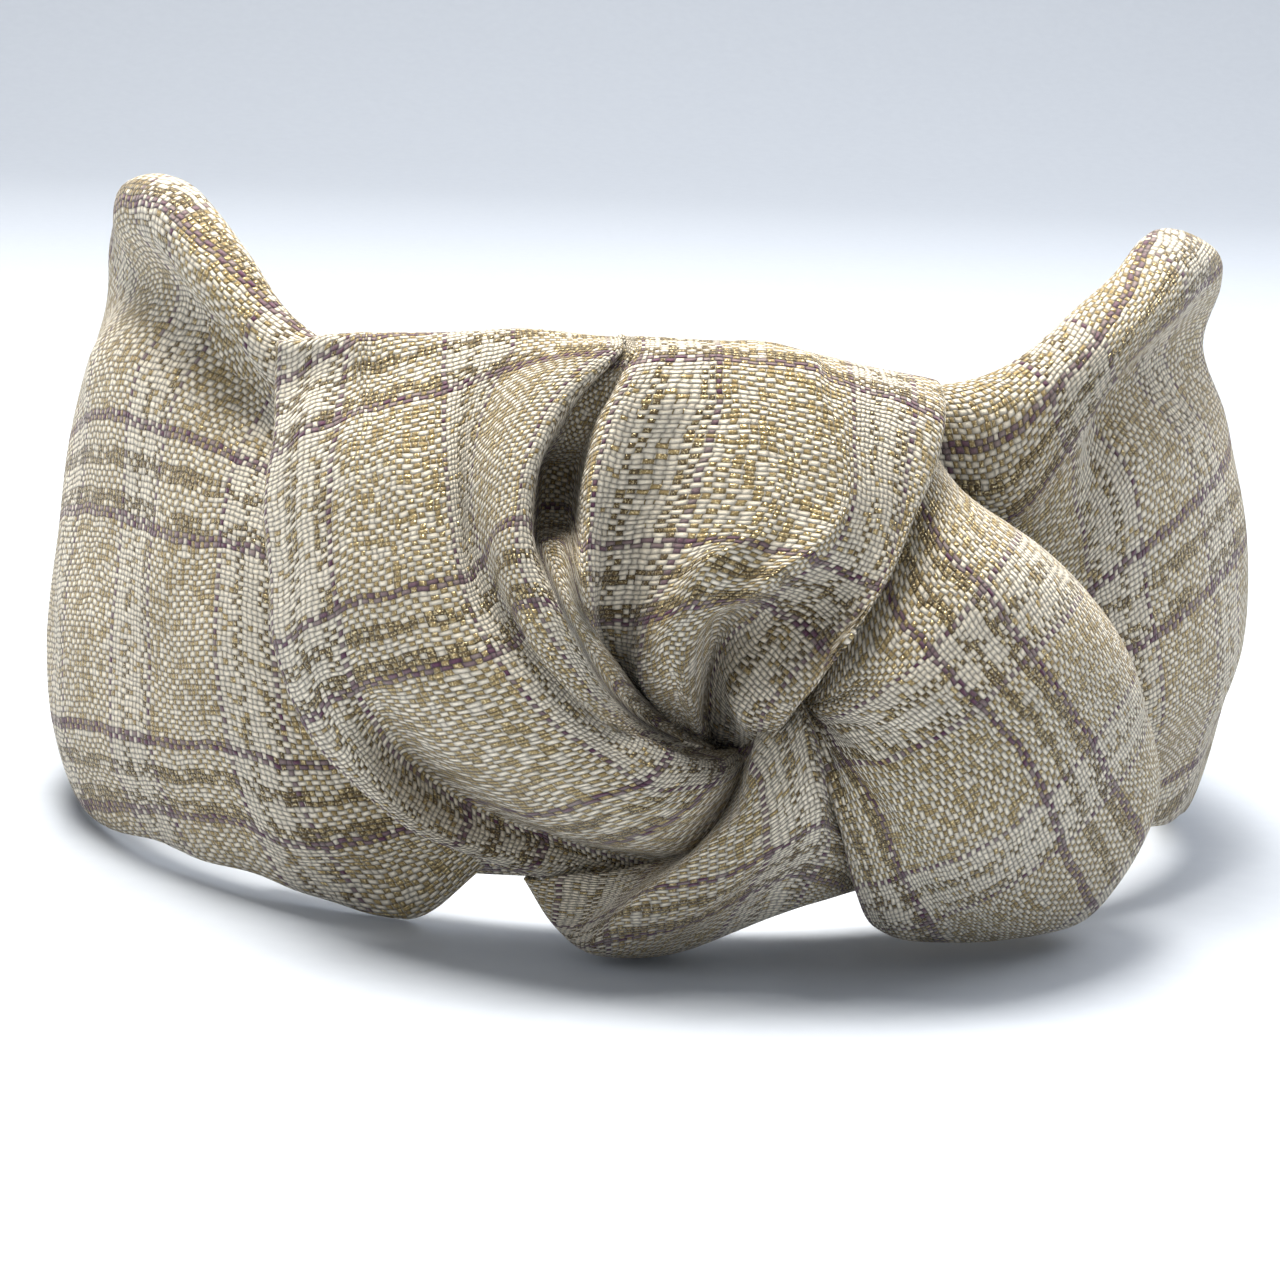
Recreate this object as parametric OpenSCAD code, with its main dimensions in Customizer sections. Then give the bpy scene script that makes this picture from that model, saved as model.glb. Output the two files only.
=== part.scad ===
// Knotted headband: a sprung plastic band dressed in two padded strips of cloth that are tied
// into one knot at the crown. It stands on its lower edge, with the knot towards -Y and the open
// ends of the arms towards +Y. The origin is under the middle of its box.

/* [Band] */
// Radius of the crown, to the middle of the plastic band
crown_r = 68; // [66:1:70]
// Radius of each arm behind the widest point
arm_r = 135; // [130:5:140]
// How far the arm tips lie behind the widest point
reach = 60; // [58:1:62]
// Thickness of the plastic band
core_t = 2; // [1.6:0.1:2.2]
// Width of the plastic band at the crown
core_w = 28; // [22:1:30]
// Width of the plastic band at the tips
core_tip_w = 11; // [9:1:12]
// Height of the middle of the plastic band
core_z = 38; // [37:1:39]

/* [Cloth] */
// Thickness of the cloth with its interfacing
cloth_t = 1.2; // [0.8:0.1:1.4]
// Height of the cloth where an arm leaves the knot
root_h = 66; // [62:1:70]
// Height of the cloth at its peak beside the knot
peak_h = 78; // [74:1:80]
// Height of the cloth at the tips
tip_h = 18; // [17:1:20]
// Where the peak lies, measured from the widest point
peak_y = -22; // [-26:1:-18]

/* [Knot] */
// Radius that the front of the knot follows, seen from above
knot_plan_r = 62; // [61:1:64]
// Radius that the front of the knot follows, seen from the side
knot_side_r = 52; // [51:1:54]
// How far the knot stands out in front of the widest point
knot_front = 93; // [92:1:94]
// Thickness of the cloth layers behind the band
back_t = 5; // [4:0.5:5]

/* [Trim] */
// Width of the ribbon that lines each arm
ribbon_w = 14; // [12:1:15]
// Length of one hand stitch
stitch_l = 2.2; // [1.5:0.1:3]

/* [Motion] */
// Angle round the crown, from its front, of the line where each arm bends
flex_angle = 45; // [44:1:46]

/* [Hidden] */
$fn = 96;
smooth = 180;
far = 150;                      // past the end of every piece
gap = 0.2;                      // room between layers that ride together
flex_play = 0.05;               // running room round the line where an arm bends
knuckle_r = core_t / 2 + 0.15;  // the bead on that line stands just proud of the band
cover_start = flex_angle + 2;   // the cloth tube leaves room for the bend
knot_end = flex_angle - 0.5;    // the knot stops short of the arms
cap_t = 1;
cap_l = 6;
ribbon_t = 0.8;
thread_r = 0.25;
core_in = crown_r - core_t / 2;
core_out = crown_r + core_t / 2;
cover_in = crown_r - 2.6;
cover_out = crown_r + 7;
arm_c = crown_r - arm_r;        // centre of the arm's curve, and of its inner face
outer_c = arm_c + 30;           // the outer face closes in on the band towards the tips
back_out = core_in - 0.3;
knot_mid = [4, -knot_front, 34];  // the foremost point of the knot
root_y = -crown_r * cos(flex_angle);
plan_y = (knot_front - reach - gap - cap_t) / 2;
cloth = [0.80, 0.73, 0.60];
cloth_shade = [0.72, 0.64, 0.50];

// ---- shapes seen from above ---------------------------------------------------------------

// Moves a piece from the centre of the crown's curve to the part's own origin
module placed() {
    translate([0, plan_y, 0]) children();
}

module on_side(side) {
    mirror([side == "left" ? 1 : 0, 0, 0]) children();
}

// The right-hand quarter inside a crown of radius r that runs on into an arm round centre_x
module inside(r, centre_x) {
    intersection() {
        circle(r, $fn = smooth);
        translate([0, -far]) square([far, far]);
    }
    intersection() {
        translate([centre_x, 0]) circle(r - centre_x, $fn = smooth);
        square([far, far]);
    }
}

// The right-hand side from an angle round the crown back to y_end
module arm_window(from_angle, y_end) {
    polygon([[0, 0], far * [sin(from_angle), -cos(from_angle)], [far, -far], [far, y_end],
             [0, y_end]]);
}

// A wall that follows the right arm, between two radii whose arms have their own centres
module arm_wall(r_in, r_out, from_angle, y_end, z = [0, far], centres = [arm_c, arm_c]) {
    translate([0, 0, z[0]]) linear_extrude(z[1] - z[0]) intersection() {
        difference() {
            inside(r_out, centres[1]);
            inside(r_in, centres[0]);
        }
        arm_window(from_angle, y_end);
    }
}

// A wall that follows the front of the crown to half_angle on both sides
module crown_wall(r_in, r_out, half_angle, z) {
    translate([0, 0, z[0]]) rotate([0, 0, -90 - half_angle])
        rotate_extrude(angle = 2 * half_angle, $fn = smooth)
            translate([r_in, 0]) square([r_out - r_in, z[1] - z[0]]);
}

// ---- outline of the cloth on an arm -------------------------------------------------------

function ease(t) = (1 - cos(180 * max(0, min(1, t)))) / 2;
function between(a, b, t) = a + (b - a) * ease(t);
function top_z(y) = y < peak_y
    ? between(root_h, peak_h, (y - root_y) / (peak_y - root_y))
    : between(peak_h, core_z + tip_h / 2, (y - peak_y) / (reach - peak_y));
function bottom_z(y) = between(0, core_z - tip_h / 2, y / reach);
function stations(y_low, y_high) = concat(
    [for (i = [0:7]) y_low + (peak_y - y_low) * i / 8],
    [for (i = [0:12]) peak_y + (y_high - peak_y) * i / 12]);

// Keeps what lies within the side outline of an arm, as far as y_high
module side_outline(inset, y_high) {
    ys = stations(root_y - 6 - inset, y_high);
    last = len(ys) - 1;
    points = concat([for (y = ys) [y, bottom_z(y) + inset]],
                    [for (i = [last:-1:0]) [ys[i], top_z(ys[i]) - inset]]);
    intersection() {
        children();
        rotate([90, 0, 90]) linear_extrude(far) polygon(points);
    }
}

// Keeps what lies within the front outline of an arm, which leans in above and below its belly
module front_outline(inset) {
    edge = [[70, -1], [73.5, 8], [75, 20], [74.6, 30], [72.5, 42], [70, 56], [64, 79]];
    points = concat([[0, -1]], [for (p = edge) [p.x - inset, p.y]], [[0, 79]]);
    intersection() {
        children();
        rotate([90, 0, 0]) linear_extrude(2 * far, center = true) polygon(points);
    }
}

// The space inside the cloth of the right arm, drawn in by inset on every side
module arm_body(inset, from_angle, y_end) {
    side_outline(inset, y_end) front_outline(inset)
        arm_wall(cover_in + inset, cover_out - inset, from_angle, far,
                 centres = [arm_c, outer_c]);
}

// ---- plastic band -------------------------------------------------------------------------

module flex_line(r, z) {
    rotate([0, 0, flex_angle]) translate([0, -crown_r, z[0]]) cylinder(r = r, h = z[1] - z[0]);
}

module core_crown() {
    color("ivory") placed() difference() {
        crown_wall(core_in, core_out, flex_angle, [core_z - core_w / 2, core_z + core_w / 2]);
        for (side = ["left", "right"]) on_side(side)
            flex_line(knuckle_r + flex_play, [0, far]);
    }
}

// A strip that tapers to a round nose
module core_arm(side) {
    nose = core_tip_w / 2;
    nose_y = reach - 2 - nose;
    low = core_z - core_w / 2;
    high = core_z + core_w / 2;
    color("ivory") placed() on_side(side) {
        intersection() {
            arm_wall(core_in, core_out, flex_angle, far);
            rotate([90, 0, 90]) linear_extrude(far) {
                polygon([[root_y - 2, low], [nose_y, core_z - nose], [nose_y, core_z + nose],
                         [root_y - 2, high]]);
                translate([nose_y, core_z]) circle(nose);
            }
        }
        flex_line(knuckle_r, [low + 1, high - 1]);
    }
}

// ---- arms ---------------------------------------------------------------------------------

// A flat tube of cloth, open where it runs into the knot
module cover(side) {
    color(cloth) placed() on_side(side) difference() {
        arm_body(0, cover_start, reach);
        arm_body(cloth_t, cover_start - 1, reach - cloth_t);
    }
}

// Wadding that fills the cloth, with a slot for the plastic band
module padding(side) {
    color("whitesmoke") placed() on_side(side) difference() {
        arm_body(cloth_t + gap, cover_start, reach - 8);
        arm_wall(cover_in, core_out + gap, flex_angle, far,
                 [core_z - core_w / 2 - gap, core_z + core_w / 2 + gap]);
    }
}

module lining(side) {
    color(cloth_shade) placed() on_side(side)
        arm_wall(cover_in - gap / 2 - ribbon_t, cover_in - gap / 2, flex_angle + 0.5, reach - 7,
                 [core_z - ribbon_w / 2, core_z + ribbon_w / 2]);
}

module stitch() {
    rotate([90, 0, 0]) cylinder(r = thread_r, h = stitch_l, center = true, $fn = 16);
}

// Two rows of stitches that lie on the ribbon, near its edges
module lining_stitches(side) {
    r = cover_in - gap - ribbon_t - thread_r;
    row = ribbon_w / 2 - 1;
    color("tan") placed() on_side(side) for (z = [core_z - row, core_z + row]) {
        for (a = [flex_angle + 5:5:90])
            rotate([0, 0, a - 90]) translate([r, 0, z]) stitch();
        for (a = [2.5:2.5:20])
            translate([arm_c, 0, 0]) rotate([0, 0, a]) translate([r - arm_c, 0, z]) stitch();
    }
}

// A folded cap of cloth over the end of an arm
module tip_cap(side) {
    half = tip_h / 2 + 5 * gap;
    color(cloth_shade) placed() on_side(side) difference() {
        intersection() {
            arm_wall(cover_in - gap - cap_t, cover_out + gap + cap_t, flex_angle,
                     reach + gap + cap_t, [core_z - half - cap_t, core_z + half + cap_t],
                     [arm_c, outer_c]);
            translate([0, reach - cap_l, 0]) cube(far);
        }
        arm_wall(cover_in - gap, cover_out + gap, flex_angle, reach + gap,
                 [core_z - half, core_z + half], [arm_c, outer_c]);
    }
}

// ---- knot ---------------------------------------------------------------------------------

// Room for the plastic band, for the layers behind it and for the arms as they bend
module knot_room() {
    cylinder(r = back_out + gap, h = 2 * far, center = true, $fn = smooth);
    translate([0, 0, core_z - core_w / 2 - gap])
        cylinder(r = core_out + gap, h = core_w + 2 * gap, $fn = smooth);
    for (side = ["left", "right"]) on_side(side) intersection() {
        cylinder(r = cover_out + 1.5, h = far, $fn = smooth);
        linear_extrude(far) arm_window(knot_end, far);
    }
}

// A pass of cloth round the front of the knot, with an outline in x and z seen from the front
module knot_pass(outline) {
    difference() {
        intersection() {
            translate(knot_mid + [0, knot_plan_r, 0])
                cylinder(r = knot_plan_r, h = far, center = true, $fn = smooth);
            translate(knot_mid + [0, knot_side_r, 0]) rotate([0, 90, 0])
                cylinder(r = knot_side_r, h = far, center = true, $fn = smooth);
            rotate([90, 0, 0]) linear_extrude(far) polygon(outline);
        }
        knot_room();
    }
}

// A pass of cloth that lies low against the band, where an arm runs in under the knot
module low_pass(outline) {
    difference() {
        intersection() {
            cylinder(r = cover_out - 0.5, h = far, $fn = smooth);
            rotate([90, 0, 0]) linear_extrude(far) polygon(outline);
        }
        knot_room();
    }
}

module knot_left_wrap() {
    color(cloth) placed() knot_pass([[-43.5, 60], [-40.5, 67], [-8.5, 67], [-4.4, 65.8],
        [-5.5, 53], [-9, 40.5], [-4.4, 30], [2.4, 25.6], [7, 21.4], [3, 14.4], [-11.6, 12.6],
        [-20, 14.6], [-17.5, 10], [-24, 6.6], [-32, 16.6], [-37.5, 22.5], [-41.5, 28.5],
        [-43.5, 43.5]]);
}

module knot_top_wrap() {
    color(cloth) placed() knot_pass([[-3.6, 66], [11, 67], [28, 65], [26.5, 57], [24.5, 52],
        [20, 41], [16.2, 35.8], [15.8, 45.1], [8, 43.6], [4.2, 39.5], [2.8, 35], [3, 30.8],
        [5, 26.8], [2.8, 26.2], [-3.8, 30.4], [-8.3, 40.6], [-4.8, 53.4]]);
}

module knot_inner_roll() {
    color(cloth_shade) placed() knot_pass([[15.2, 44.5], [8.2, 43], [4.7, 39.2], [3.3, 35],
        [3.5, 31], [7, 26.4], [9, 25.9], [12.4, 31], [15.4, 35.2]]);
}

module knot_right_lobe() {
    color(cloth) placed() knot_pass([[25, 51.2], [33.8, 49], [40.6, 43.8], [46.4, 36.4],
        [50.8, 27.8], [52.3, 21.2], [51.6, 15.7], [48.2, 8.3], [43, 1.5], [38, 0], [26, 0],
        [22.6, 4], [21.2, 10.7], [20.8, 14.7], [16.3, 24.5], [14.2, 29.8], [16.6, 32.6],
        [20.8, 40.4]]);
}

module knot_tail() {
    color(cloth) placed() knot_pass([[13.1, 29.8], [15.5, 23], [20.2, 14.6], [20.7, 9.6],
        [13, 5], [5, 0], [-9, 0], [-16, 9.6], [-0.9, 12], [3.4, 14], [7.5, 21.2], [9.5, 25.4]]);
}

module knot_left_tuck() {
    color(cloth_shade) placed() low_pass([[-47, 3], [-47, 60], [-44, 60], [-44, 43.5],
        [-42, 28.2], [-38, 22.2], [-32.4, 16.2], [-24.3, 6], [-20, 4.2], [-24, 1.5],
        [-30, 1.2]]);
}

module knot_right_tuck() {
    color(cloth_shade) placed() low_pass([[28.6, 65], [36, 66], [44, 67], [47, 60], [47, 37.5],
        [41.2, 44.4], [34.2, 49.8], [25.6, 52], [27, 57]]);
}

// The two strips pass behind the band here
module knot_back_band() {
    color(cloth_shade) placed() crown_wall(back_out - back_t, back_out, flex_angle - 4, [7, 62]);
}

// The seam that joins the two strips behind the band
module knot_seam_stitches() {
    color("tan") placed() for (z = [14:4:56])
        rotate([0, 0, -90]) translate([back_out - back_t - thread_r - gap / 2, 0, z]) stitch();
}

core_crown();
core_arm("left");  // core_left_arm
core_arm("right");  // core_right_arm
knot_left_wrap();
knot_top_wrap();
knot_inner_roll();
knot_right_lobe();
knot_tail();
knot_left_tuck();
knot_right_tuck();
knot_back_band();
knot_seam_stitches();
padding("left");  // left_padding
padding("right");  // right_padding
cover("left");  // left_cover
cover("right");  // right_cover
lining("left");  // left_lining
lining("right");  // right_lining
lining_stitches("left");  // left_lining_stitches
lining_stitches("right");  // right_lining_stitches
tip_cap("left");  // left_tip_cap
tip_cap("right");  // right_tip_cap
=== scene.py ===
import math

import bpy
import numpy as np
from mathutils import Matrix, Vector, noise

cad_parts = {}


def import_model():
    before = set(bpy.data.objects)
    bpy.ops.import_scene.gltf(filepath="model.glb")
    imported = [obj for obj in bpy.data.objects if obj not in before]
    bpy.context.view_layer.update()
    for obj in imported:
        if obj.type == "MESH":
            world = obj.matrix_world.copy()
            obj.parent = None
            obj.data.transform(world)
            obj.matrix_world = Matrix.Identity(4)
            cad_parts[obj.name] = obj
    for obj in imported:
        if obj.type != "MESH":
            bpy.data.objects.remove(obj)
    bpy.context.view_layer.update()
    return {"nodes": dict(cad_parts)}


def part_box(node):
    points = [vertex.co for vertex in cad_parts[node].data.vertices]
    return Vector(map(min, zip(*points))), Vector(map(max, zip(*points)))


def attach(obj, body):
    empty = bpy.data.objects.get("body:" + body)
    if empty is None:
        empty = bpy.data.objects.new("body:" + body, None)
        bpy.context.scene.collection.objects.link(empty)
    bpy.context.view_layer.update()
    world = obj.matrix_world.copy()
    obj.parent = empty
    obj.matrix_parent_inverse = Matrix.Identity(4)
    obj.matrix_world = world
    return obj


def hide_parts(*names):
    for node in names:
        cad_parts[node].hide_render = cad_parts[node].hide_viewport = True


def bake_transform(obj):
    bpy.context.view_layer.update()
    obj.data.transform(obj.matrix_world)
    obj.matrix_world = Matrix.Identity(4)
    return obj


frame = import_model()

# Sizes below are millimetres in plan coordinates: x to the right, y to the back and z up, with
# the centre of the crown's curve at x = 0, y = 0. place() turns them into metres in the frame.
MM = 0.001
CORE_HALF = 1.0                 # half the plastic band's thickness
CROWN_R = 68.0                  # middle of the plastic band, round the crown
ARM_R = 135.0                   # and along each arm
BAND_Z = 38.0                   # height of the band's middle
QUARTER = CROWN_R * math.pi / 2
PLAN_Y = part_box("core_crown")[0][1] / MM + CROWN_R + CORE_HALF
CLOTH = 1.0                     # thickness of the tweed
GATHERED = 0.4                  # and of the knot's sheets, squeezed together in the folds
FLOOR_GAP = 0.25                # the cloth rests this far above the floor
GATHER = 0.8                    # the least share of its width that gathered cloth keeps
SAMPLES = 22                    # rows and columns where a sheet is laid out flat
WORDS = {-1: "left", 1: "right"}       # an arm's name, by the sign of its x


# ---- curves and surfaces ------------------------------------------------------------------

def through(knots, values, at):
    """Values on a smooth curve that passes through the given values at the given knots."""
    knots, values = np.asarray(knots, float), np.asarray(values, float)
    gaps = np.diff(knots)
    slopes = np.diff(values, axis=0) / gaps[:, None]
    share = (gaps[:-1] / (gaps[:-1] + gaps[1:]))[:, None]
    tangents = np.concatenate([slopes[:1], slopes[:-1] * (1 - share) + slopes[1:] * share,
                               slopes[-1:]])
    i = np.clip(np.searchsorted(knots, at, side="right") - 1, 0, len(gaps) - 1)
    gap = gaps[i][:, None]
    t = (at - knots[i])[:, None] / gap
    return ((1 + 2 * t) * (1 - t) ** 2 * values[i] + t * (1 - t) ** 2 * gap * tangents[i]
            + t * t * (3 - 2 * t) * values[i + 1] + t * t * (t - 1) * gap * tangents[i + 1])


def travelled(points):
    """Distance travelled at each point of a line."""
    steps = np.linalg.norm(np.diff(points, axis=0), axis=-1)
    return np.concatenate([np.zeros((1,) + steps.shape[1:]), np.cumsum(steps, axis=0)])


def along_ribs(grid):
    """Distance from the start of its rib at each point of a grid."""
    return travelled(grid.swapaxes(0, 1)).swapaxes(0, 1)


def rail(points, count):
    """Evenly spaced points along a smooth curve through a few chosen ones."""
    points = np.asarray(points, float)
    knots = travelled(points)
    dense = through(knots, points, np.linspace(0, knots[-1], 24 * len(points)))
    along = travelled(dense)
    even = np.linspace(0, along[-1], count)
    return np.stack([np.interp(even, along, dense[:, k]) for k in range(3)], axis=-1)


def loft(ribs, across, along):
    """A grid of points on the smooth surface through a row of ribs, and each rib's share of the way."""
    rails = np.array([rail(rib, along) for rib in ribs])
    steps = np.linalg.norm(np.diff(rails, axis=0), axis=2).mean(axis=1)
    knots = np.concatenate([[0], np.cumsum(steps)])
    grid = through(knots, rails.reshape(len(ribs), -1), np.linspace(0, knots[-1], across))
    return grid.reshape(across, along, 3), knots / knots[-1]


def normals(grid):
    """Unit normals of a grid, on the side that faces out of the cloth."""
    du, dv = np.gradient(grid, axis=0), np.gradient(grid, axis=1)
    n = np.cross(dv, du)
    return n / np.maximum(np.linalg.norm(n, axis=2, keepdims=True), 1e-9)


def soften(grid, rounds=2):
    """Evens out a grid a little, with its border left in place."""
    grid = grid.copy()
    for _ in range(rounds):
        middle = (grid[:-2, 1:-1] + grid[2:, 1:-1] + grid[1:-1, :-2] + grid[1:-1, 2:]) / 4
        grid[1:-1, 1:-1] += (middle - grid[1:-1, 1:-1]) * 0.5
    return grid


def rumple(grid, height, size, seed, upright=1.0):
    """Pushes a grid in and out by a slow noise, as soft cloth never lies quite even."""
    n = normals(grid)
    scale = np.array((1, 1, upright)) / size
    shift = np.array([[noise.noise(Vector(p * scale + (seed, 0, 0))) for p in row]
                      for row in grid])
    return grid + n * (shift * height)[..., None]


def settle(across, along, hold_across, hold_along):
    """Values on a grid whose steps across and along come as close as they can to the given ones."""
    nu, nv = along.shape[0], across.shape[1]
    index = np.arange(nu * nv).reshape(nu, nv)
    ends = np.concatenate([np.stack([index[:-1], index[1:]], -1).reshape(-1, 2),
                           np.stack([index[:, :-1], index[:, 1:]], -1).reshape(-1, 2)])
    pull = np.concatenate([np.full(across.size, hold_across), np.full(along.size, hold_along)])
    matrix = np.zeros((len(ends), nu * nv))
    matrix[np.arange(len(ends)), ends[:, 0]] = -pull
    matrix[np.arange(len(ends)), ends[:, 1]] = pull
    wanted = pull * np.concatenate([across.ravel(), along.ravel()])
    normal = matrix.T @ matrix + np.eye(nu * nv) * 1e-6
    return np.linalg.solve(normal, matrix.T @ wanted).reshape(nu, nv)


def sampled(count):
    """Which of a grid's rows or columns are laid out flat, before the rest are filled in."""
    return np.linspace(0, count - 1, SAMPLES).round().astype(int)


def flatten(grid):
    """Where each point of a draped grid lies on the flat cloth, in mm.

    The warp runs along the ribs and the weft crosses it squarely.
    """
    nu, nv = grid.shape[:2]
    iu, iv = sampled(nu), sampled(nv)
    corner = grid[np.ix_(iu, iv)]
    across = np.diff(travelled(grid)[iu], axis=0)[:, iv]
    along = np.diff(along_ribs(grid)[:, iv], axis=1)[iu]
    heading = np.gradient(corner, axis=1)
    heading /= np.linalg.norm(heading, axis=2, keepdims=True)
    slant = (np.diff(corner, axis=0) * (heading[:-1] + heading[1:]) / 2).sum(axis=2)
    least = GATHER * np.median(across, axis=1, keepdims=True)
    u = settle(np.maximum(across, least), np.zeros_like(along), 1.0, 2.0)
    v = settle(slant, along, 0.5, 1.0)
    flat = np.stack([u, v], axis=-1)
    wide = through(iu, flat.reshape(SAMPLES, -1), np.arange(nu)).reshape(nu, SAMPLES, 2)
    wide = wide.swapaxes(0, 1).reshape(SAMPLES, -1)
    return through(iv, wide, np.arange(nv)).reshape(nv, nu, 2).swapaxes(0, 1)


def chosen_warp(shares, threads, count):
    """The warp thread, in mm, at each point across, from the threads at a few shares of the way."""
    at = sampled(count)
    return through(at, np.interp(at / (count - 1), shares, threads)[:, None], np.arange(count))


def fan(grid):
    """The flat cloth under a grid whose ribs all spread from one point, in mm."""
    nv = grid.shape[1]
    along = along_ribs(grid)
    spread = np.diff(travelled(grid), axis=0) / ((along[:-1] + along[1:]) / 2 + 1e-6)
    spread = spread[:, nv // 3:2 * nv // 3].mean(axis=1)
    angle = np.concatenate([[0], np.cumsum(spread)])[:, None]
    angle = angle - angle.mean()
    return np.stack([along * np.sin(angle), along * np.cos(angle)], axis=-1)


def place(points):
    """Plan millimetres to metres in the frame."""
    return (np.asarray(points, float) + (0, PLAN_Y, 0)) * MM


# ---- nodes --------------------------------------------------------------------------------

class Graph:
    """A material and short calls that add nodes to it."""

    def __init__(self, name):
        self.material = bpy.data.materials.new(name)
        self.material.use_nodes = True
        self.tree = self.material.node_tree
        self.shader = self.tree.nodes["Principled BSDF"]

    def node(self, kind, inputs=(), **settings):
        made = self.tree.nodes.new(kind)
        for key, value in settings.items():
            setattr(made, key, value)
        for socket, value in dict(inputs).items():
            self.feed(made.inputs[socket], value)
        return made

    def feed(self, socket, value):
        if isinstance(value, bpy.types.NodeSocket):
            self.tree.links.new(value, socket)
        else:
            socket.default_value = value

    def math(self, operation, *values):
        made = self.node("ShaderNodeMath", enumerate(values), operation=operation)
        return made.outputs[0]

    def vector(self, operation, *values):
        made = self.node("ShaderNodeVectorMath", enumerate(values), operation=operation)
        return made.outputs[0]

    def mix(self, factor, a, b):
        """Colour a where factor is 0 and colour b where it is 1."""
        return self.node("ShaderNodeMix", {0: factor, 6: a, 7: b}, data_type="RGBA").outputs[2]

    def choose(self, factor, a, b):
        """Number a where factor is 0 and number b where it is 1."""
        return self.node("ShaderNodeMix", {0: factor, 2: a, 3: b}).outputs[0]

    def between(self, low, high, share):
        """A number that goes from low to high as share goes from 0 to 1."""
        return self.math("MULTIPLY_ADD", share, high - low, low)

    def noise(self, where, scale, detail=2.0):
        made = self.node("ShaderNodeTexNoise", {"Vector": where, "Scale": scale,
                                                "Detail": detail})
        return made.outputs["Fac"]

    def bump(self, height, distance, strength=1.0):
        """Normals of a relief whose full height is distance, in metres."""
        made = self.node("ShaderNodeBump", {"Height": height, "Distance": distance,
                                            "Strength": strength})
        return made.outputs[0]

    def position(self):
        return self.node("ShaderNodeTexCoord").outputs["Object"]

    def threads(self):
        """The place on the flat cloth, in mm."""
        return self.node("ShaderNodeUVMap", uv_map="threads").outputs["UV"]

    def finish(self, **values):
        for name, value in values.items():
            self.feed(self.shader.inputs[name.replace("_", " ")], value)
        return self.material


def rgb(red, green, blue):
    """A colour from 0-255 screen values."""
    def linear(v):
        v /= 255
        return v / 12.92 if v <= 0.04045 else ((v + 0.055) / 1.055) ** 2.4
    return (linear(red), linear(green), linear(blue), 1)


# ---- materials ----------------------------------------------------------------------------

WARP_GAP = 0.85                 # mm from one warp thread to the next
WEFT_GAP = 0.55
SPREAD = 0.13                   # how far a weft float swells over its neighbours, in warps
FLOAT_REACH = 0.56 + SPREAD     # half a weft float's length, in warps
WARP_HEIGHT = 0.85              # a warp float's height, beside 1 for a weft float
WANDER = 1.1                    # mm by which the threads stray from straight
WARP_CHECK = ((1, "purple"), (3, "white"), (2, "olive"), (3, "white"), (2, "olive"),
              (1, "purple"))    # threads in a check, in order
WEFT_CHECK = ((2, "purple"), (4, "white"), (3, "olive"), (4, "white"), (3, "olive"),
              (2, "purple"))
WARP_GROUND = 17                # threads of plain ground between two checks
WEFT_GROUND = 36
WARP_GOLD = 0.92                # share of gold in the ground
WEFT_GOLD = 0.2
OLIVE_SHARE = 0.75              # share of olive in a check's olive stripes
MASKS = {"purple": (1, 0, 0, 1), "white": (0, 0, 0, 1), "olive": (0, 1, 0, 1),
         "ground": (0, 0, 1, 1)}
WHITE = rgb(228, 218, 198)
GOLD = rgb(160, 138, 92)
OLIVE = rgb(106, 88, 56)
PURPLE = rgb(86, 46, 70)
GLINT = rgb(252, 234, 184)
FIBRE_SCALE = 3400.0            # scales of the fine noises, per metre
GLINT_SCALE = 4300.0
GLINT_LIMIT = 0.57              # lurex glints where the noise is above this
RELIEF = 0.00028                # height of a thread over the gaps, in metres


def thread_masks(g, index, check, ground, dice, gold):
    """Purple, gold and olive masks of the thread with this index.

    dice is a random number for each float, and gold is the share of gold in the plain ground.
    """
    repeat = ground + sum(count for count, _ in check)
    turn = g.math("DIVIDE", g.math("ADD", g.math("FLOORED_MODULO", index, repeat), 0.5), repeat)
    ramp = g.node("ShaderNodeValToRGB", {"Fac": turn})
    ramp.color_ramp.interpolation = "CONSTANT"
    stops = ramp.color_ramp.elements
    at = 0
    for number, (count, name) in enumerate(check + ((ground, "ground"),)):
        stop = stops[number] if number < 2 else stops.new(at / repeat)
        stop.position = at / repeat
        stop.color = MASKS[name]
        at += count
    parts = g.node("ShaderNodeSeparateColor", {"Color": ramp.outputs["Color"]})
    plain = g.math("MULTIPLY", parts.outputs["Blue"], g.math("LESS_THAN", dice, gold))
    olive = g.math("MULTIPLY", parts.outputs["Green"], g.math("LESS_THAN", dice, OLIVE_SHARE))
    return parts.outputs["Red"], plain, olive


def dome(g, reach):
    """1 in the middle of a thread, falling to 0 where reach is 1."""
    return g.math("MAXIMUM", g.math("SUBTRACT", 1, g.math("MULTIPLY", reach, reach)), 0)


def threads_here(g):
    """The warp and weft thread at each point of the cloth, and how far off their middles it is."""
    flat = g.threads()
    wander = g.node("ShaderNodeTexNoise", {"Vector": flat, "Scale": 0.25, "Detail": 4.0})
    stray = g.vector("SUBTRACT", wander.outputs["Color"], (0.5, 0.5, 0.5))
    bent = g.vector("MULTIPLY_ADD", stray, (WANDER, WANDER, 0), flat)
    count = g.vector("MULTIPLY", bent, (1 / WARP_GAP, 1 / WEFT_GAP, 1))
    parts = g.node("ShaderNodeSeparateXYZ", {0: count})
    warp, weft = (g.math("FLOOR", parts.outputs[k]) for k in (0, 1))
    off_warp, off_weft = (g.math("ABSOLUTE", g.math(
        "SUBTRACT", g.math("FRACT", parts.outputs[k]), 0.5)) for k in (0, 1))
    return warp, weft, off_warp, off_weft


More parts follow.
